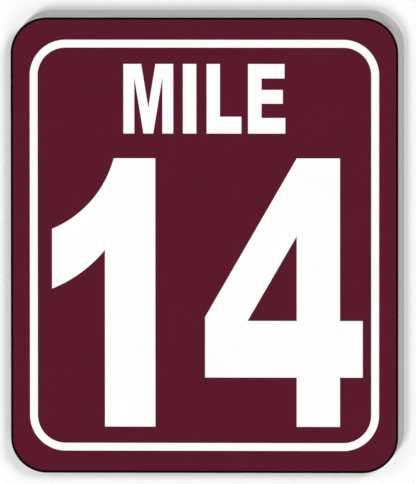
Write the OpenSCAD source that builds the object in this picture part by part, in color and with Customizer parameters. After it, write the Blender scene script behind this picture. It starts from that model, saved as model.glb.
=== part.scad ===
// Mile marker sign: an aluminium blank faced with coloured sheeting.
// Seen from the front, X runs right and Z up, and the face looks along -Y.
// The origin is the centre of the blank's back, where the sign is fixed.

/* [Blank] */
// Width of the aluminium blank
panel_w = 215.9; // [185:0.1:320]
// Height of the aluminium blank
panel_h = 254; // [220:0.1:360]
// Thickness of the aluminium sheet
panel_t = 3.175; // [1.5:0.005:6.4]
// Radius of the blank's four corners
corner_r = 20.1; // [10:0.1:30]
// Bevel that deburring leaves along both arrises
edge_break = 0.05; // [0.02:0.01:0.5]

/* [Sheeting] */
// Thickness of the maroon ground sheeting
ground_t = 0.1; // [0.05:0.01:0.3]
// Thickness of the film that the lines, letters and numerals are cut from
legend_t = 0.1; // [0.05:0.01:0.3]
// Width of the black line round the rim of the face
edge_line_w = 1.2; // [0.5:0.05:3]

/* [Border line] */
// Width of the white border line
border_w = 4.35; // [2:0.05:8]
// Distance from the blank's left or right edge to the border line
border_side = 10.7; // [6:0.1:20]
// Distance from the blank's top or bottom edge to the border line
border_end = 12.45; // [6:0.05:20]
// Outer corner radius of the border line
border_r = 19.9; // [12:0.1:30]

/* [Word] */
// Height of the capitals
cap_h = 38.75; // [30:0.05:48]
// Clearance between the border line and the top of the word
word_clear = 9.1; // [3:0.1:16]
// Width of the M
m_w = 27.75; // [24:0.05:34]
// Width of the M's two upright stems
m_stem = 6.05; // [5:0.05:8]
// Width of the flat foot where the M's diagonals meet the baseline
m_foot = 5.4; // [3:0.1:8]
// Depth of the M's two side notches' tips below the cap line
m_notch_drop = 7.5; // [5:0.1:14]
// Depth of the M's middle valley below the cap line
m_valley_drop = 24.3; // [16:0.1:26]
// Gap between the M and the I
m_i_gap = 5.4; // [2:0.05:10]
// Width of the I
i_w = 7.45; // [5:0.05:10]
// Gap between the I and the L
i_l_gap = 5.75; // [2:0.05:10]
// Width of the L
l_w = 19.35; // [14:0.05:26]
// Width of the L's stem
l_stem = 7.4; // [5:0.05:10]
// Thickness of the L's foot
l_foot_t = 9.4; // [6:0.1:13]
// Gap between the L and the E
l_e_gap = 3.7; // [2:0.1:10]
// Width of the E, which is the length of its lowest arm
e_w = 20.75; // [17:0.05:27]
// Width of the E's stem
e_stem = 7.5; // [5:0.1:10]
// Thickness of the E's top arm
e_top_t = 8.05; // [5:0.05:9]
// How much shorter the E's top arm is than its lowest
e_top_short = 0.45; // [0:0.05:3]
// Thickness of the E's middle arm
e_mid_t = 7.7; // [5:0.1:9]
// How much shorter the E's middle arm is than its lowest
e_mid_short = 1.4; // [0:0.1:4]
// Thickness of the E's lowest arm
e_foot_t = 8.7; // [5:0.05:10]
// Share of the E's open height that lies under its middle arm
e_mid_share = 0.555; // [0.4:0.005:0.6]

/* [Numerals] */
// Gap between the word and the numerals
numeral_gap = 13.8; // [6:0.1:24]
// Clearance between the numerals and the border line under them
numeral_foot_clear = 9.1; // [3:0.05:16]
// Clearance between the border line and the left of the 1
numeral_left_clear = 8; // [3:0.1:16]
// Clearance between the right of the 4 and the border line
numeral_right_clear = 4.75; // [3:0.05:16]
// Height that the numerals' own sizes below are drawn for
numeral_drawn_h = 149.65; // [120:0.05:200]
// Gap between the 1 and the 4
one_four_gap = 27.7; // [15:0.1:40]
// Width of the 1
one_w = 57.55; // [48:0.05:70]
// Width of the 1's stem
one_stem = 28.1; // [20:0.1:34]
// Distance from the left of the 1 to the tip of its flag at the top
one_flag_tip = 34.4; // [31:0.1:44]
// Depth of the flag's upper left corner below the top
one_flag_high = 39.4; // [32:0.1:46]
// Depth of the flag's lower left corner below the top
one_flag_low = 72.7; // [64:0.1:82]
// Depth below the top at which the flag's underside meets the stem
one_flag_root = 51.1; // [46:0.1:60]
// Sag of the curve along the flag's upper side
one_upper_sag = 6.1; // [2:0.1:9]
// Sag of the curve along the flag's underside
one_lower_sag = 2.3; // [1:0.1:4]
// Width of the 4
four_w = 87.8; // [76:0.1:100]
// Width of the 4's stem
four_stem = 24.1; // [18:0.05:30]
// Length of the bar that stands out to the right of the 4's stem
four_heel = 12.65; // [6:0.05:18]
// Height of the bar's underside above the baseline
four_bar_rise = 27.45; // [20:0.05:34]
// Thickness of the 4's bar
four_bar_t = 31.6; // [24:0.05:38]
// Height above the bar at which the 4's left side turns into its diagonal
four_knee_rise = 2.1; // [0.5:0.1:5]
// Distance from the left of the 4 to the corner of its open triangle
four_counter_side = 23.7; // [18:0.1:30]
// Depth of the open triangle's peak below the top
four_counter_drop = 43.4; // [36:0.1:54]

/* [Hidden] */
$fn = 96;

inner_w = panel_w - 2 * (border_side + border_w);
inner_h = panel_h - 2 * (border_end + border_w);

word_w = m_w + m_i_gap + i_w + i_l_gap + l_w + l_e_gap + e_w;
word_left = -word_w / 2;
word_base = inner_h / 2 - word_clear - cap_h;
i_left = word_left + m_w + m_i_gap;
l_left = i_left + i_w + i_l_gap;
e_left = l_left + l_w + l_e_gap;

// The numerals fill what the border and the word leave, whatever their drawn size
numeral_left = numeral_left_clear - inner_w / 2;
numeral_base = numeral_foot_clear - inner_h / 2;
numeral_h = word_base - numeral_gap - numeral_base;
numerals_drawn_w = one_w + one_four_gap + four_w;
numerals_w = inner_w - numeral_left_clear - numeral_right_clear;
stretch = numerals_w / numerals_drawn_w;
rise = numeral_h / numeral_drawn_h;
four_left = numeral_left + (one_w + one_four_gap) * stretch;

// A numeral's drawn point, stretched to the space that the numerals fill
function fitted(x, z) = [x * stretch, z * rise];

// Radius of the arc that spans the chord from p to q with the given sag
function arc_radius(p, q, sag) = (norm(q - p) ^ 2 / 4 + sag ^ 2) / (2 * sag);

// Centre of that arc, on the left-hand side on the way from p to q
function arc_centre(p, q, sag) =
    let (along = (q - p) / norm(q - p), side = [-along.y, along.x])
    (p + q) / 2 + side * (arc_radius(p, q, sag) - sag);

// Disc bounded by that arc
module arc_disc(p, q, sag)
    translate(arc_centre(p, q, sag)) circle(r = arc_radius(p, q, sag));

module rounded_outline(w, h, r) {
    square([w - 2 * r, h], center = true);
    square([w, h - 2 * r], center = true);
    for (x = [-1, 1], z = [-1, 1])
        translate([x * (w / 2 - r), z * (h / 2 - r)]) circle(r = r);
}

module ring_outline(w, h, r, line_w)
    difference() {
        rounded_outline(w, h, r);
        rounded_outline(w - 2 * line_w, h - 2 * line_w, r - line_w);
    }

// Stands a flat outline up as a sheet whose back lies that far in front of the blank's back
module upright_sheet(back, thickness)
    translate([0, -back, 0]) rotate([90, 0, 0]) linear_extrude(thickness) children();

// Section through the blank, with its deburred arrises
module blank_section(w)
    polygon([
        [-w / 2 + edge_break, 0], [w / 2 - edge_break, 0],
        [w / 2, -edge_break], [w / 2, edge_break - panel_t],
        [w / 2 - edge_break, -panel_t], [-w / 2 + edge_break, -panel_t],
        [-w / 2, edge_break - panel_t], [-w / 2, -edge_break]
    ]);

// One corner of the blank, turned about the corner's own centre
module blank_corner()
    rotate([90, 0, 0]) rotate_extrude() polygon([
        [0, 0], [corner_r - edge_break, 0], [corner_r, edge_break],
        [corner_r, panel_t - edge_break], [corner_r - edge_break, panel_t], [0, panel_t]
    ]);

module panel()
    color("silver") {
        linear_extrude(panel_h - 2 * corner_r, center = true) blank_section(panel_w);
        rotate([0, 90, 0])
            linear_extrude(panel_w - 2 * corner_r, center = true) blank_section(panel_h);
        for (x = [-1, 1], z = [-1, 1])
            translate([x * (panel_w / 2 - corner_r), 0, z * (panel_h / 2 - corner_r)])
                blank_corner();
    }

// The ground covers the flat of the face, up to the deburred arris
module ground_sheet()
    color([0.357, 0.106, 0.173])
        upright_sheet(panel_t, ground_t)
            rounded_outline(panel_w - 2 * edge_break, panel_h - 2 * edge_break, corner_r - edge_break);

// Lines, letters and numerals all lie on the ground
module legend_sheet()
    upright_sheet(panel_t + ground_t, legend_t) children();

module edge_line()
    color([0.02, 0.02, 0.02])
        legend_sheet() ring_outline(
            panel_w - 2 * edge_break, panel_h - 2 * edge_break,
            corner_r - edge_break, edge_line_w
        );

module border_line()
    color("white")
        legend_sheet() ring_outline(
            panel_w - 2 * border_side, panel_h - 2 * border_end,
            border_r, border_w
        );

module m_outline() {
    middle = m_w / 2;
    notch_z = cap_h - m_notch_drop;
    valley_z = cap_h - m_valley_drop;
    // Both sides of a diagonal have the slope that runs from the notch to the foot
    lean = (middle - m_foot / 2 - m_stem) / notch_z;
    shoulder = middle - lean * m_valley_drop;
    polygon([
        [0, 0], [m_stem, 0], [m_stem, notch_z], [middle - m_foot / 2, 0],
        [middle + m_foot / 2, 0], [m_w - m_stem, notch_z], [m_w - m_stem, 0], [m_w, 0],
        [m_w, cap_h], [m_w - shoulder, cap_h], [middle, valley_z], [shoulder, cap_h], [0, cap_h]
    ]);
}

module l_outline() {
    square([l_stem, cap_h]);
    square([l_w, l_foot_t]);
}

module e_outline() {
    open_h = cap_h - e_foot_t - e_mid_t - e_top_t;
    square([e_stem, cap_h]);
    square([e_w, e_foot_t]);
    translate([0, e_foot_t + open_h * e_mid_share]) square([e_w - e_mid_short, e_mid_t]);
    translate([0, cap_h - e_top_t]) square([e_w - e_top_short, e_top_t]);
}

module one_outline() {
    stem_left = (one_w - one_stem) * stretch;
    stem_w = one_stem * stretch;
    tip = fitted(one_flag_tip, numeral_drawn_h);
    high = fitted(0, numeral_drawn_h - one_flag_high);
    low = fitted(0, numeral_drawn_h - one_flag_low);
    root = fitted(one_w - one_stem, numeral_drawn_h - one_flag_root);
    difference() {
        union() {
            translate([stem_left, 0]) square([stem_w, numeral_h]);
            intersection() {
                translate(low) square([stem_left + stem_w / 2, numeral_h - low.y]);
                arc_disc(low, root, one_lower_sag);
            }
        }
        arc_disc(high, tip, one_upper_sag);
    }
}

module four_outline() {
    stem_left = four_w - four_heel - four_stem;
    stem_right = four_w - four_heel;
    bar_top = four_bar_rise + four_bar_t;
    difference() {
        polygon([
            fitted(0, four_bar_rise), fitted(0, bar_top + four_knee_rise),
            fitted(stem_left, numeral_drawn_h), fitted(stem_right, numeral_drawn_h),
            fitted(stem_right, bar_top), fitted(four_w, bar_top),
            fitted(four_w, four_bar_rise), fitted(stem_right, four_bar_rise),
            fitted(stem_right, 0), fitted(stem_left, 0), fitted(stem_left, four_bar_rise)
        ]);
        polygon([
            fitted(four_counter_side, bar_top),
            fitted(stem_left, numeral_drawn_h - four_counter_drop),
            fitted(stem_left, bar_top)
        ]);
    }
}

module letter_m()
    color("white") legend_sheet() translate([word_left, word_base]) m_outline();

module letter_i()
    color("white") legend_sheet() translate([i_left, word_base]) square([i_w, cap_h]);

module letter_l()
    color("white") legend_sheet() translate([l_left, word_base]) l_outline();

module letter_e()
    color("white") legend_sheet() translate([e_left, word_base]) e_outline();

module numeral_1()
    color("white") legend_sheet() translate([numeral_left, numeral_base]) one_outline();

module numeral_4()
    color("white") legend_sheet() translate([four_left, numeral_base]) four_outline();

panel();
ground_sheet();
edge_line();
border_line();
letter_m();
letter_i();
letter_l();
letter_e();
numeral_1();
numeral_4();
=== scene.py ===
# Mile marker sign: a sheet aluminium blank faced with maroon sheeting, with its lines, its word
# and its numerals cut from black and white film. Seen from the front, X runs right and Z up.
# The face looks along -Y, and the blank's flat back lies at Y = 0.
import math

import bmesh
import bpy
from mathutils import Matrix, Vector


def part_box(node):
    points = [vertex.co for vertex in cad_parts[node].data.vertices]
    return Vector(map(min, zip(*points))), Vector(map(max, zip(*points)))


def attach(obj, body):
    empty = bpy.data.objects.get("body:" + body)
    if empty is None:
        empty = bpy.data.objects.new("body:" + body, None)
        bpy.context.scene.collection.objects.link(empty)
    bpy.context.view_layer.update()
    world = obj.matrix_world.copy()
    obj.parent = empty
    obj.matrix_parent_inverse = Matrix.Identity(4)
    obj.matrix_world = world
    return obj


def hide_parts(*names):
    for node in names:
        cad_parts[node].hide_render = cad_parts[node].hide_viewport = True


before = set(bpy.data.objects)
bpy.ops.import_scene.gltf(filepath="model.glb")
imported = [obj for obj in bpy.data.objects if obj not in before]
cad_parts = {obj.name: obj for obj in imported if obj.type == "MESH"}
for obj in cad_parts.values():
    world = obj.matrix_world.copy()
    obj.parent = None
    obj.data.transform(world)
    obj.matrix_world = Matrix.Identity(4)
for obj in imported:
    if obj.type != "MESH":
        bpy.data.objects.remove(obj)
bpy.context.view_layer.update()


# The blank is one piece of eighth-inch aluminium sheet, punched out with round corners and
# deburred along both arrises. Its back keeps the mill's rolled finish. Its edge shows what the
# punch leaves: a burnished band next to the face, and a torn, matt band behind it.
MM = 0.001
BLANK_CORNER = 20.1 * MM
BLANK_ARRIS = 0.05 * MM
CORNER_STEPS = 40
ARRIS_STEPS = 4
SHARP = math.radians(60)
SAME_PLANE = 1e-7
FLAT_FACE_WEIGHT = 100


def round_cornered_sheet(lowest, highest, corner):
    """A flat sheet with round corners, standing in the box's back plane and facing the front."""
    sheet = bmesh.new()
    bmesh.ops.create_grid(sheet, x_segments=1, y_segments=1, size=0.5)
    bmesh.ops.scale(sheet, vec=(highest.x - lowest.x, highest.z - lowest.z, 1), verts=sheet.verts)
    bmesh.ops.bevel(
        sheet, geom=sheet.verts[:], offset=corner, offset_type="OFFSET", segments=CORNER_STEPS,
        profile=0.5, affect="VERTICES", material=-1,
    )
    upright = Matrix.Rotation(math.radians(90), 3, "X")
    bmesh.ops.rotate(sheet, cent=(0, 0, 0), matrix=upright, verts=sheet.verts)
    middle = (lowest + highest) / 2
    bmesh.ops.translate(sheet, vec=(middle.x, highest.y, middle.z), verts=sheet.verts)
    return sheet


def thicken(sheet, thickness):
    """Grows a flat sheet towards the front."""
    grown = bmesh.ops.extrude_face_region(sheet, geom=sheet.faces[:])
    front = [part for part in grown["geom"] if isinstance(part, bmesh.types.BMVert)]
    bmesh.ops.translate(sheet, vec=(0, -thickness, 0), verts=front)
    bmesh.ops.recalc_face_normals(sheet, faces=sheet.faces[:])


def round_arris(sheet, plane, size, steps):
    """Rounds the sharp edges that lie in one plane across Y."""
    arris = [
        edge for edge in sheet.edges
        if all(math.isclose(end.co.y, plane, abs_tol=SAME_PLANE) for end in edge.verts)
        and edge.calc_face_angle(0) > SHARP
    ]
    bmesh.ops.bevel(
        sheet, geom=arris, offset=size, offset_type="OFFSET", segments=steps,
        profile=0.5, affect="EDGES", material=-1,
    )


def set_in_place(sheet, name, node, finishes):
    """Makes a mesh the piece that stands for its node, shaded so that its flats stay flat."""
    mesh = bpy.data.meshes.new(name)
    sheet.to_mesh(mesh)
    sheet.free()
    mesh.shade_smooth()
    for finish in finishes:
        mesh.materials.append(finish)
    piece = bpy.data.objects.new(name, mesh)
    bpy.context.collection.objects.link(piece)
    piece.modifiers.new("flats_stay_flat", "WEIGHTED_NORMAL").weight = FLAT_FACE_WEIGHT
    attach(piece, "root")
    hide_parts(node)


def open_material(name):
    """A material with its shader, ready for its own nodes."""
    material = bpy.data.materials.new(name)
    material.use_nodes = True
    return material, material.node_tree, material.node_tree.nodes["Principled BSDF"]


def open_group(name, inputs, outputs):
    """A node group with its sockets, and the two ends that its own nodes join."""
    group = bpy.data.node_groups.new(name, "ShaderNodeTree")
    for label, kind, value in inputs:
        group.interface.new_socket(label, in_out="INPUT", socket_type=kind).default_value = value
    for label, kind in outputs:
        group.interface.new_socket(label, in_out="OUTPUT", socket_type=kind)
    entry = group.nodes.new("NodeGroupInput").outputs
    return group, entry, group.nodes.new("NodeGroupOutput").inputs


def add(tree, kind, options=(), **sockets):
    """Adds a node, sets its options, and fills each socket with a value or a link."""
    node = tree.nodes.new(kind)
    for label, value in dict(options).items():
        setattr(node, label, value)
    for label, value in sockets.items():
        socket = node.inputs[label.replace("_", " ")]
        if isinstance(value, bpy.types.NodeSocket):
            tree.links.new(value, socket)
        else:
            socket.default_value = value
    return node


def in_range(tree, mask, low, high, start=0.3, end=0.7):
    """Turns the middle of a mask's range into a range of values."""
    return add(
        tree, "ShaderNodeMapRange",
        Value=mask, From_Min=start, From_Max=end, To_Min=low, To_Max=high,
    ).outputs["Result"]


def between(tree, mask, first, second):
    """Fades from one colour to another where the mask goes from 0 to 1."""
    ramp = add(tree, "ShaderNodeValToRGB", Fac=mask)
    ramp.color_ramp.elements[0].color = first
    ramp.color_ramp.elements[1].color = second
    return ramp.outputs["Color"]


# Grain of worked metal: fine lines drawn out one way, over broader bands that run the same way.
# Count Per Metre says how many lines there are along X, Y and Z.
BANDS_PER_LINE = 0.1

metal_grain, entry, ends = open_group(
    "metal_grain",
    [
        ("Count Per Metre", "NodeSocketVector", (3000, 400, 40)),
        ("Banding", "NodeSocketFloat", 0.35),
    ],
    [("Grain", "NodeSocketFloat")],
)
place = add(metal_grain, "ShaderNodeTexCoord").outputs["Object"]
drawn_out = add(
    metal_grain, "ShaderNodeMapping", Vector=place, Scale=entry["Count Per Metre"],
).outputs["Vector"]
lines = add(metal_grain, "ShaderNodeTexNoise", Vector=drawn_out, Scale=1.0, Detail=3.0)
bands = add(
    metal_grain, "ShaderNodeTexNoise", Vector=drawn_out, Scale=BANDS_PER_LINE, Detail=1.0,
)
mixed = add(
    metal_grain, "ShaderNodeMix",
    Factor=entry["Banding"], A=lines.outputs["Fac"], B=bands.outputs["Fac"],
)
metal_grain.links.new(mixed.outputs["Result"], ends["Grain"])


def grain_of(tree, count_per_metre, banding):
    """The metal's grain, placed in a material."""
    return add(
        tree, "ShaderNodeGroup", {"node_tree": metal_grain},
        Count_Per_Metre=count_per_metre, Banding=banding,
    ).outputs["Grain"]


# The mill finish: the rolls leave long fine lines up the sheet, dull where they lie deepest
ROLL_LINES_PER_METRE = (3200, 400, 40)
ROLL_BANDING = 0.45
ROLL_DEPTH = 0.006 * MM
MILL_DARK = (0.60, 0.61, 0.62, 1)
MILL_LIGHT = (0.72, 0.73, 0.74, 1)
DARK_ROUGHNESS = 0.46
LIGHT_ROUGHNESS = 0.34

mill_finish, tree, shader = open_material("mill_aluminium")
roll_lines = grain_of(tree, ROLL_LINES_PER_METRE, ROLL_BANDING)
shader.inputs["Metallic"].default_value = 1.0
mill_grey = between(tree, in_range(tree, roll_lines, 0, 1), MILL_DARK, MILL_LIGHT)
tree.links.new(mill_grey, shader.inputs["Base Color"])
mill_roughness = in_range(tree, roll_lines, DARK_ROUGHNESS, LIGHT_ROUGHNESS)
tree.links.new(mill_roughness, shader.inputs["Roughness"])
rolled = add(tree, "ShaderNodeBump", Height=roll_lines, Distance=ROLL_DEPTH, Strength=1.0)
tree.links.new(rolled.outputs["Normal"], shader.inputs["Normal"])

# The punched edge: the burnished band is smooth, and the torn band has short lines across it
BURNISHED_DEPTH = 1.2 * MM
TEAR_WANDER = 0.35 * MM
TEARS_PER_METRE = 260.0
TEAR_BLUR = 0.1 * MM
DRAG_LINES_PER_METRE = (5200, 420, 5200)
DRAG_BANDING = 0.25
DRAG_DEPTH = 0.02 * MM
BURNISHED_DRAG_SHARE = 0.25
BURNISHED_GREY = (0.74, 0.75, 0.76, 1)
TORN_GREY = (0.50, 0.51, 0.52, 1)
BURNISHED_ROUGHNESS = 0.26
TORN_ROUGHNESS = 0.52

punched_edge, tree, shader = open_material("punched_aluminium")
place = add(tree, "ShaderNodeTexCoord").outputs["Object"]
wander = add(tree, "ShaderNodeTexNoise", Vector=place, Scale=TEARS_PER_METRE, Detail=3.0)
depth = add(tree, "ShaderNodeMath", {"operation": "MULTIPLY_ADD"})
tree.links.new(wander.outputs["Fac"], depth.inputs[0])
depth.inputs[1].default_value = TEAR_WANDER
tree.links.new(add(tree, "ShaderNodeSeparateXYZ", Vector=place).outputs["Y"], depth.inputs[2])
tear_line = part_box("panel")[0].y + BURNISHED_DEPTH + TEAR_WANDER / 2
torn = in_range(
    tree, depth.outputs["Value"], 0, 1, tear_line - TEAR_BLUR, tear_line + TEAR_BLUR,
)
drag_lines = grain_of(tree, DRAG_LINES_PER_METRE, DRAG_BANDING)
shader.inputs["Metallic"].default_value = 1.0
tree.links.new(between(tree, torn, BURNISHED_GREY, TORN_GREY), shader.inputs["Base Color"])
edge_roughness = in_range(tree, torn, BURNISHED_ROUGHNESS, TORN_ROUGHNESS, 0, 1)
tree.links.new(edge_roughness, shader.inputs["Roughness"])
drag_height = add(tree, "ShaderNodeMath", {"operation": "MULTIPLY"})
tree.links.new(drag_lines, drag_height.inputs[0])
tree.links.new(in_range(tree, torn, BURNISHED_DRAG_SHARE, 1.0, 0, 1), drag_height.inputs[1])
dragged = add(
    tree, "ShaderNodeBump",
    Height=drag_height.outputs["Value"], Distance=DRAG_DEPTH, Strength=1.0,
)
tree.links.new(dragged.outputs["Normal"], shader.inputs["Normal"])

lowest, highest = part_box("panel")
blank = round_cornered_sheet(lowest, highest, BLANK_CORNER)
thicken(blank, highest.y - lowest.y)
for face in blank.faces:
    is_flat = abs(face.normal.y) > 0.5
    face.material_index = 0 if is_flat else 1
round_arris(blank, lowest.y, BLANK_ARRIS, ARRIS_STEPS)
round_arris(blank, highest.y, BLANK_ARRIS, ARRIS_STEPS)
set_in_place(blank, "aluminium_blank", "panel", [mill_finish, punched_edge])


# The ground is maroon sign sheeting, rolled onto the bare face and trimmed where the arris
# begins. It is a satin plastic film, with the faint unevenness that pressing it down leaves.
FILM_ARRIS = 0.025 * MM
FILM_ARRIS_STEPS = 2
CLOUDS_PER_METRE = 38.0
PEEL_PER_METRE = 620.0
SWELLS_PER_METRE = 55.0
SWELL_SHARE = 0.7
UNEVEN_POLISH = 0.08
MAROON = (0.102, 0.0096, 0.0237, 1)

film_skin, entry, ends = open_group(
    "film_skin",
    [
        ("Colour", "NodeSocketColor", MAROON),
        ("Polish", "NodeSocketFloat", 0.4),
        ("Cloudiness", "NodeSocketFloat", 0.03),
        ("Peel Depth", "NodeSocketFloat", 0.002 * MM),
    ],
    [
        ("Colour", "NodeSocketColor"),
        ("Roughness", "NodeSocketFloat"),
        ("Normal", "NodeSocketVector"),
    ],
)
place = add(film_skin, "ShaderNodeTexCoord").outputs["Object"]
cloud, peel, swell = (
    add(film_skin, "ShaderNodeTexNoise", Vector=place, Scale=count, Detail=detail).outputs["Fac"]
    for count, detail in ((CLOUDS_PER_METRE, 3.0), (PEEL_PER_METRE, 2.0), (SWELLS_PER_METRE, 1.0))
)
shade = add(film_skin, "ShaderNodeMath", {"operation": "MULTIPLY_ADD"})
film_skin.links.new(in_range(film_skin, cloud, -1, 1), shade.inputs[0])
film_skin.links.new(entry["Cloudiness"], shade.inputs[1])
shade.inputs[2].default_value = 1.0
toned = add(
    film_skin, "ShaderNodeHueSaturation", Color=entry["Colour"], Value=shade.outputs["Value"],
)
film_skin.links.new(toned.outputs["Color"], ends["Colour"])
sheen = add(film_skin, "ShaderNodeMath", {"operation": "MULTIPLY"})
film_skin.links.new(entry["Polish"], sheen.inputs[0])
uneven = in_range(film_skin, peel, 1 - UNEVEN_POLISH, 1 + UNEVEN_POLISH)
film_skin.links.new(uneven, sheen.inputs[1])
film_skin.links.new(sheen.outputs["Value"], ends["Roughness"])
height = add(film_skin, "ShaderNodeMix", Factor=SWELL_SHARE, A=peel, B=swell).outputs["Result"]
pressed = add(
    film_skin, "ShaderNodeBump", Height=height, Distance=entry["Peel Depth"], Strength=1.0,
)
film_skin.links.new(pressed.outputs["Normal"], ends["Normal"])


def film(name, colour, polish, cloudiness, peel_depth, specular):
    """A satin plastic film of one colour."""
    material, tree, shader = open_material(name)
    skin = add(
        tree, "ShaderNodeGroup", {"node_tree": film_skin},
        Colour=colour, Polish=polish, Cloudiness=cloudiness, Peel_Depth=peel_depth,
    ).outputs
    tree.links.new(skin["Colour"], shader.inputs["Base Color"])
    tree.links.new(skin["Roughness"], shader.inputs["Roughness"])
    tree.links.new(skin["Normal"], shader.inputs["Normal"])
    shader.inputs["Specular IOR Level"].default_value = specular
    return material


maroon_sheeting = film(
    "maroon_sheeting", MAROON, polish=0.42, cloudiness=0.02, peel_depth=0.003 * MM, specular=0.3,
)

lowest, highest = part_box("ground_sheet")
ground = round_cornered_sheet(lowest, highest, BLANK_CORNER - BLANK_ARRIS)
thicken(ground, highest.y - lowest.y)
round_arris(ground, lowest.y, FILM_ARRIS, FILM_ARRIS_STEPS)
set_in_place(ground, "maroon_ground", "ground_sheet", [maroon_sheeting])


# The rim line and the border line are closed frames of film, each knife cut in one piece:
# black round the very edge of the face, and white a finger's width inside it.
RIM_WIDTH = 1.2 * MM
BORDER_WIDTH = 4.35 * MM
BORDER_CORNER = 19.9 * MM
BLACK = (0.0015, 0.0015, 0.0015, 1)
WHITE = (0.97, 0.97, 0.97, 1)

black_film = film(
    "black_film", BLACK, polish=0.38, cloudiness=0.05, peel_depth=0.002 * MM, specular=0.25,
)
white_film = film(
    "white_film", WHITE, polish=0.38, cloudiness=0.01, peel_depth=0.002 * MM, specular=0.3,
)


def cut_frame(name, node, corner, width, finish):
    """A closed line of film that follows a round-cornered outline."""
    lowest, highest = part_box(node)
    line = round_cornered_sheet(lowest, highest, corner)
    bmesh.ops.inset_region(
        line, faces=line.faces[:], thickness=width, use_boundary=True, use_even_offset=True,
    )
    opening = max(line.faces, key=lambda face: face.calc_area())
    bmesh.ops.delete(line, geom=[opening], context="FACES_ONLY")
    thicken(line, highest.y - lowest.y)
    round_arris(line, lowest.y, FILM_ARRIS, FILM_ARRIS_STEPS)
    set_in_place(line, name, node, [finish])


cut_frame("black_rim_line", "edge_line", BLANK_CORNER - BLANK_ARRIS, RIM_WIDTH, black_film)
cut_frame("white_border_line", "border_line", BORDER_CORNER, BORDER_WIDTH, white_film)


# The word is four heavy capitals with square ends and no serifs, each knife cut from white film
# and pressed onto the ground by itself. The stroke widths differ a little from letter to letter.
M_STEM = 6.05 * MM
M_FOOT = 5.4 * MM
M_NOTCH_DROP = 7.5 * MM
M_VALLEY_DROP = 24.3 * MM
L_STEM = 7.4 * MM
L_FOOT = 9.4 * MM
E_STEM = 7.5 * MM
E_TOP_ARM = 8.05 * MM
E_TOP_SHORT = 0.45 * MM
E_MIDDLE_ARM = 7.7 * MM
E_MIDDLE_SHORT = 1.4 * MM
E_LOWEST_ARM = 8.7 * MM
E_MIDDLE_SHARE = 0.555


def size_of(node):
    """A node's width and height as the face is read."""
    lowest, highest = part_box(node)
    return highest.x - lowest.x, highest.z - lowest.z


def knife_cut(outline, corners):
    """Draws a closed line through corners measured from the outline's own lower left."""
    points = [outline.verts.new((x, 0, z)) for x, z in corners]
    for start, end in zip(points, points[1:] + points[:1]):
        outline.edges.new((start, end))


def press_on(outline, name, node):
    """Fills a cut outline with white film, and lays it where its node lies."""
    lowest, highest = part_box(node)
    bmesh.ops.triangle_fill(
        outline, edges=outline.edges[:], use_beauty=True, use_dissolve=True, normal=(0, -1, 0),
    )
    bmesh.ops.translate(outline, vec=(lowest.x, highest.y, lowest.z), verts=outline.verts)
    thicken(outline, highest.y - lowest.y)
    round_arris(outline, lowest.y, FILM_ARRIS, FILM_ARRIS_STEPS)
    set_in_place(outline, name, node, [white_film])


width, height = size_of("letter_m")
lean = (width / 2 - M_FOOT / 2 - M_STEM) / (height - M_NOTCH_DROP)
shoulder = width / 2 - lean * M_VALLEY_DROP
letter_m = bmesh.new()
knife_cut(letter_m, [
    (0, 0), (M_STEM, 0), (M_STEM, height - M_NOTCH_DROP), ((width - M_FOOT) / 2, 0),
    ((width + M_FOOT) / 2, 0), (width - M_STEM, height - M_NOTCH_DROP), (width - M_STEM, 0),
    (width, 0), (width, height), (width - shoulder, height),
    (width / 2, height - M_VALLEY_DROP), (shoulder, height), (0, height),
])
press_on(letter_m, "cut_letter_m", "letter_m")

width, height = size_of("letter_i")
letter_i = bmesh.new()
knife_cut(letter_i, [(0, 0), (width, 0), (width, height), (0, height)])
press_on(letter_i, "cut_letter_i", "letter_i")

width, height = size_of("letter_l")
letter_l = bmesh.new()
knife_cut(letter_l, [
    (0, 0), (width, 0), (width, L_FOOT), (L_STEM, L_FOOT), (L_STEM, height), (0, height),
])
press_on(letter_l, "cut_letter_l", "letter_l")

width, height = size_of("letter_e")
lower_gap = (height - E_LOWEST_ARM - E_MIDDLE_ARM - E_TOP_ARM) * E_MIDDLE_SHARE
middle_low = E_LOWEST_ARM + lower_gap
middle_high = middle_low + E_MIDDLE_ARM
letter_e = bmesh.new()
knife_cut(letter_e, [
    (0, 0), (width, 0), (width, E_LOWEST_ARM), (E_STEM, E_LOWEST_ARM),
    (E_STEM, middle_low), (width - E_MIDDLE_SHORT, middle_low),
    (width - E_MIDDLE_SHORT, middle_high), (E_STEM, middle_high),
    (E_STEM, height - E_TOP_ARM), (width - E_TOP_SHORT, height - E_TOP_ARM),
    (width - E_TOP_SHORT, height), (0, height),
])
press_on(letter_e, "cut_letter_e", "letter_e")


# The two numerals are cut from the same white film, at nearly four times the word's height.
# The 1 has a flag with two hollow curves, and the 4 closes round a triangle that is cut out.
ONE_STEM = 28.1 * MM
ONE_FLAG_TIP = 34.4 * MM
ONE_FLAG_HIGH = 39.4 * MM
ONE_FLAG_LOW = 72.7 * MM
ONE_FLAG_ROOT = 51.1 * MM
ONE_UPPER_SAG = 6.1 * MM
ONE_LOWER_SAG = 2.3 * MM
CURVE_STEPS = 28
FOUR_STEM = 24.1 * MM
FOUR_HEEL = 12.65 * MM
FOUR_BAR_RISE = 27.45 * MM
FOUR_BAR = 31.6 * MM
FOUR_KNEE_RISE = 2.1 * MM
FOUR_COUNTER_SIDE = 23.7 * MM
FOUR_COUNTER_DROP = 43.4 * MM


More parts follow.
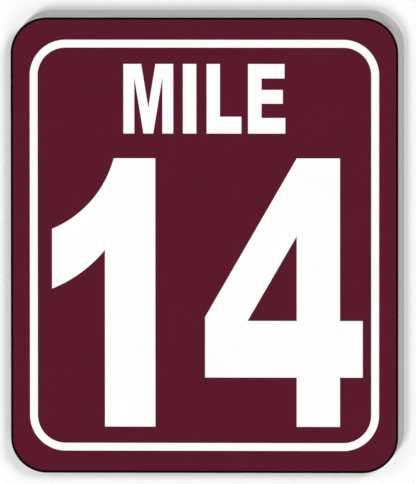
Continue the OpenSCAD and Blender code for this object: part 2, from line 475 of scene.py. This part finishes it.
def swing_cut(outline, start, end, sag):
    """Cuts a hollow curve from one corner to another, which bends away to the right by its sag."""
    chord = Vector((end[0] - start[0], 0, end[1] - start[1]))
    radius = (chord.length ** 2 / 4 + sag ** 2) / (2 * sag)
    left = Vector((-chord.z, 0, chord.x)).normalized()
    centre = Vector((start[0], 0, start[1])) + chord / 2 + left * (radius - sag)
    first = outline.verts.new((start[0], 0, start[1]))
    swung = bmesh.ops.spin(
        outline, geom=[first], cent=centre, axis=(0, -1, 0),
        angle=2 * math.asin(chord.length / 2 / radius), steps=CURVE_STEPS,
    )
    last = next(part for part in swung["geom_last"] if isinstance(part, bmesh.types.BMVert))
    return first, last


width, height = size_of("numeral_1")
numeral_1 = bmesh.new()
flag_under, flag_root = swing_cut(
    numeral_1,
    (0, height - ONE_FLAG_LOW), (width - ONE_STEM, height - ONE_FLAG_ROOT), ONE_LOWER_SAG,
)
flag_over, flag_tip = swing_cut(
    numeral_1, (0, height - ONE_FLAG_HIGH), (ONE_FLAG_TIP, height), ONE_UPPER_SAG,
)
foot_left = numeral_1.verts.new((width - ONE_STEM, 0, 0))
foot_right = numeral_1.verts.new((width, 0, 0))
top_right = numeral_1.verts.new((width, 0, height))
for cut in [
    (flag_root, foot_left), (foot_left, foot_right), (foot_right, top_right),
    (top_right, flag_tip), (flag_over, flag_under),
]:
    numeral_1.edges.new(cut)
press_on(numeral_1, "cut_numeral_1", "numeral_1")

width, height = size_of("numeral_4")
stem_right = width - FOUR_HEEL
stem_left = stem_right - FOUR_STEM
bar_top = FOUR_BAR_RISE + FOUR_BAR
numeral_4 = bmesh.new()
knife_cut(numeral_4, [
    (0, FOUR_BAR_RISE), (stem_left, FOUR_BAR_RISE), (stem_left, 0), (stem_right, 0),
    (stem_right, FOUR_BAR_RISE), (width, FOUR_BAR_RISE), (width, bar_top), (stem_right, bar_top),
    (stem_right, height), (stem_left, height), (0, bar_top + FOUR_KNEE_RISE),
])
knife_cut(numeral_4, [
    (FOUR_COUNTER_SIDE, bar_top), (stem_left, bar_top), (stem_left, height - FOUR_COUNTER_DROP),
])
press_on(numeral_4, "cut_numeral_4", "numeral_4")


# The sign lies flat against a white studio wall, over a pale floor well below it. Both show
# only from their own side, so that the sign's back and underside can be looked at too.
WALL_GAP = 0.05 * MM
WALL_SPAN = 8.0
FLOOR_DROP = 1.3
FLOOR_SPAN = 40.0
WALL_WHITE = (0.95, 0.95, 0.95, 1)
FLOOR_PALE = (0.86, 0.86, 0.86, 1)
FLOOR_GLOW = 0.4


def studio_surface(name, colour, glow, span, turn, place):
    """A flat, matt studio surface, seen from its front alone. It neither stops light nor adds any."""
    material, tree, shader = open_material(name)
    tree.nodes.remove(shader)
    matt = add(tree, "ShaderNodeBsdfDiffuse", Color=colour)
    clear = add(tree, "ShaderNodeBsdfTransparent")
    shown = add(tree, "ShaderNodeMath", {"operation": "SUBTRACT", "use_clamp": True})
    tree.links.new(add(tree, "ShaderNodeLightPath").outputs["Is Camera Ray"], shown.inputs[0])
    tree.links.new(add(tree, "ShaderNodeNewGeometry").outputs["Backfacing"], shown.inputs[1])
    lit = add(tree, "ShaderNodeAddShader")
    tree.links.new(matt.outputs["BSDF"], lit.inputs[0])
    lift = add(tree, "ShaderNodeEmission", Strength=glow)
    tree.links.new(lift.outputs["Emission"], lit.inputs[1])
    either = add(tree, "ShaderNodeMixShader", Fac=shown.outputs["Value"])
    tree.links.new(clear.outputs["BSDF"], either.inputs[1])
    tree.links.new(lit.outputs["Shader"], either.inputs[2])
    tree.links.new(either.outputs["Shader"], tree.nodes["Material Output"].inputs["Surface"])
    surface = bmesh.new()
    bmesh.ops.create_grid(surface, x_segments=1, y_segments=1, size=span / 2)
    raised = Matrix.Rotation(turn, 3, "X")
    bmesh.ops.rotate(surface, cent=(0, 0, 0), matrix=raised, verts=surface.verts)
    bmesh.ops.translate(surface, vec=place, verts=surface.verts)
    mesh = bpy.data.meshes.new(name)
    surface.to_mesh(mesh)
    surface.free()
    mesh.materials.append(material)
    backdrop = bpy.data.objects.new(name, mesh)
    bpy.context.collection.objects.link(backdrop)


wall_middle = (0, WALL_GAP, WALL_SPAN / 2 - FLOOR_DROP)
studio_surface("studio_wall", WALL_WHITE, 0.0, WALL_SPAN, math.radians(90), wall_middle)
studio_surface("studio_floor", FLOOR_PALE, FLOOR_GLOW, FLOOR_SPAN, 0, (0, 0, -FLOOR_DROP))


# Studio light: a small key lamp from the lower left draws the plate's crisp shadow above it and
# to its right, and broader lamps all round give the soft shadow that fades off the plate. Each
# leans away from straight in front, towards a bearing that is counted from the right over the top.
WHITE_LEVEL = 1.05
LAMPS = {
    "key": {"lean": 57, "bearing": 232, "spread": 1.2, "share": 0.205},
    "low_left": {"lean": 70.5, "bearing": 229, "spread": 11, "share": 0.28},
    "upper_right": {"lean": 62, "bearing": 34, "spread": 28, "share": 0.265},
    "upper_left": {"lean": 69, "bearing": 164, "spread": 16, "share": 0.08},
    "lower_right": {"lean": 71, "bearing": 290, "spread": 20, "share": 0.10},
}
AMBIENT_SHARE = 0.06

for name, lamp in LAMPS.items():
    lean, bearing = math.radians(lamp["lean"]), math.radians(lamp["bearing"])
    towards = Vector((
        math.sin(lean) * math.cos(bearing), -math.cos(lean), math.sin(lean) * math.sin(bearing),
    ))
    light = bpy.data.lights.new(name, "SUN")
    light.angle = math.radians(lamp["spread"])
    light.energy = lamp["share"] * WHITE_LEVEL * math.pi / math.cos(lean)
    holder = bpy.data.objects.new(name, light)
    holder.rotation_mode = "QUATERNION"
    holder.rotation_quaternion = towards.to_track_quat("Z", "Y")
    holder.visible_glossy = False
    bpy.context.collection.objects.link(holder)


# The room is white to look at. What the metal and the films mirror is dark behind the camera
# and grows lighter upwards and to the sides, as in a studio with its lamps hung round the walls.
ROOM_DARK = 0.05
ROOM_LOW = 0.6
DARK_TO_SIDES = (-0.75, -0.1)
LOW_TO_HIGH = (-0.3, 0.9)
PLAIN_WHITE = (1, 1, 1, 1)

studio = bpy.data.worlds.new("studio")
studio.use_nodes = True
bpy.context.scene.world = studio
tree = studio.node_tree
skyward = add(tree, "ShaderNodeTexCoord").outputs["Generated"]
way = add(tree, "ShaderNodeSeparateXYZ", Vector=skyward).outputs
sides = in_range(tree, way["Y"], ROOM_DARK, 1.0, *DARK_TO_SIDES)
upwards = in_range(tree, way["Z"], ROOM_LOW, 1.0, *LOW_TO_HIGH)
mirrored = add(tree, "ShaderNodeMath", {"operation": "MULTIPLY"})
tree.links.new(sides, mirrored.inputs[0])
tree.links.new(upwards, mirrored.inputs[1])
ray = add(tree, "ShaderNodeLightPath").outputs
ambient = add(
    tree, "ShaderNodeBackground", Color=PLAIN_WHITE, Strength=AMBIENT_SHARE * WHITE_LEVEL,
)
reflected = add(
    tree, "ShaderNodeBackground", Color=PLAIN_WHITE, Strength=mirrored.outputs["Value"],
)
seen_white = add(tree, "ShaderNodeBackground", Color=PLAIN_WHITE, Strength=1.0)

# A mirrored ray shows the graded room only where no matt surface has scattered it before
first_mirrored = add(tree, "ShaderNodeMath", {"operation": "SUBTRACT", "use_clamp": True})
tree.links.new(ray["Is Glossy Ray"], first_mirrored.inputs[0])
tree.links.new(ray["Diffuse Depth"], first_mirrored.inputs[1])
glossy = add(tree, "ShaderNodeMixShader", Fac=first_mirrored.outputs["Value"])
tree.links.new(ambient.outputs["Background"], glossy.inputs[1])
tree.links.new(reflected.outputs["Background"], glossy.inputs[2])
direct = add(tree, "ShaderNodeMixShader", Fac=ray["Is Camera Ray"])
tree.links.new(glossy.outputs["Shader"], direct.inputs[1])
tree.links.new(seen_white.outputs["Background"], direct.inputs[2])
tree.links.new(direct.outputs["Shader"], tree.nodes["World Output"].inputs["Surface"])


# The camera stands far off with a long lens, so the face stays square. It looks from a little
# above and to the right, where the top and right edges of the plate show as thin bright lines.
PHOTO_SIZE = (416, 484)
FACE_CENTRE_PIXEL = (204.42, 245.43)
MM_PER_PIXEL = 0.5567
LENS = 1000
SENSOR_WIDTH = 36
AZIMUTH, ELEVATION = math.radians(2.0), math.radians(3.0)
ROLL = math.radians(-0.03)

lens = bpy.data.cameras.new("long_lens")
lens.sensor_width = SENSOR_WIDTH
lens.lens = LENS
camera = bpy.data.objects.new("camera", lens)
bpy.context.collection.objects.link(camera)
bpy.context.scene.camera = camera
towards_camera = Vector((
    math.sin(AZIMUTH) * math.cos(ELEVATION),
    -math.cos(AZIMUTH) * math.cos(ELEVATION),
    math.sin(ELEVATION),
))
turned = towards_camera.to_track_quat("Z", "Y") @ Matrix.Rotation(ROLL, 3, "Z").to_quaternion()
face_centre = Vector((0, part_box("numeral_1")[0].y, 0))
aside = (PHOTO_SIZE[0] / 2 - FACE_CENTRE_PIXEL[0]) * MM_PER_PIXEL * MM
above = (FACE_CENTRE_PIXEL[1] - PHOTO_SIZE[1] / 2) * MM_PER_PIXEL * MM
distance = LENS * PHOTO_SIZE[1] * MM_PER_PIXEL * MM / SENSOR_WIDTH
camera.rotation_mode = "QUATERNION"
camera.rotation_quaternion = turned
camera.location = face_centre + turned @ Vector((aside, above, distance))

bpy.context.scene.view_settings.view_transform = "Standard"
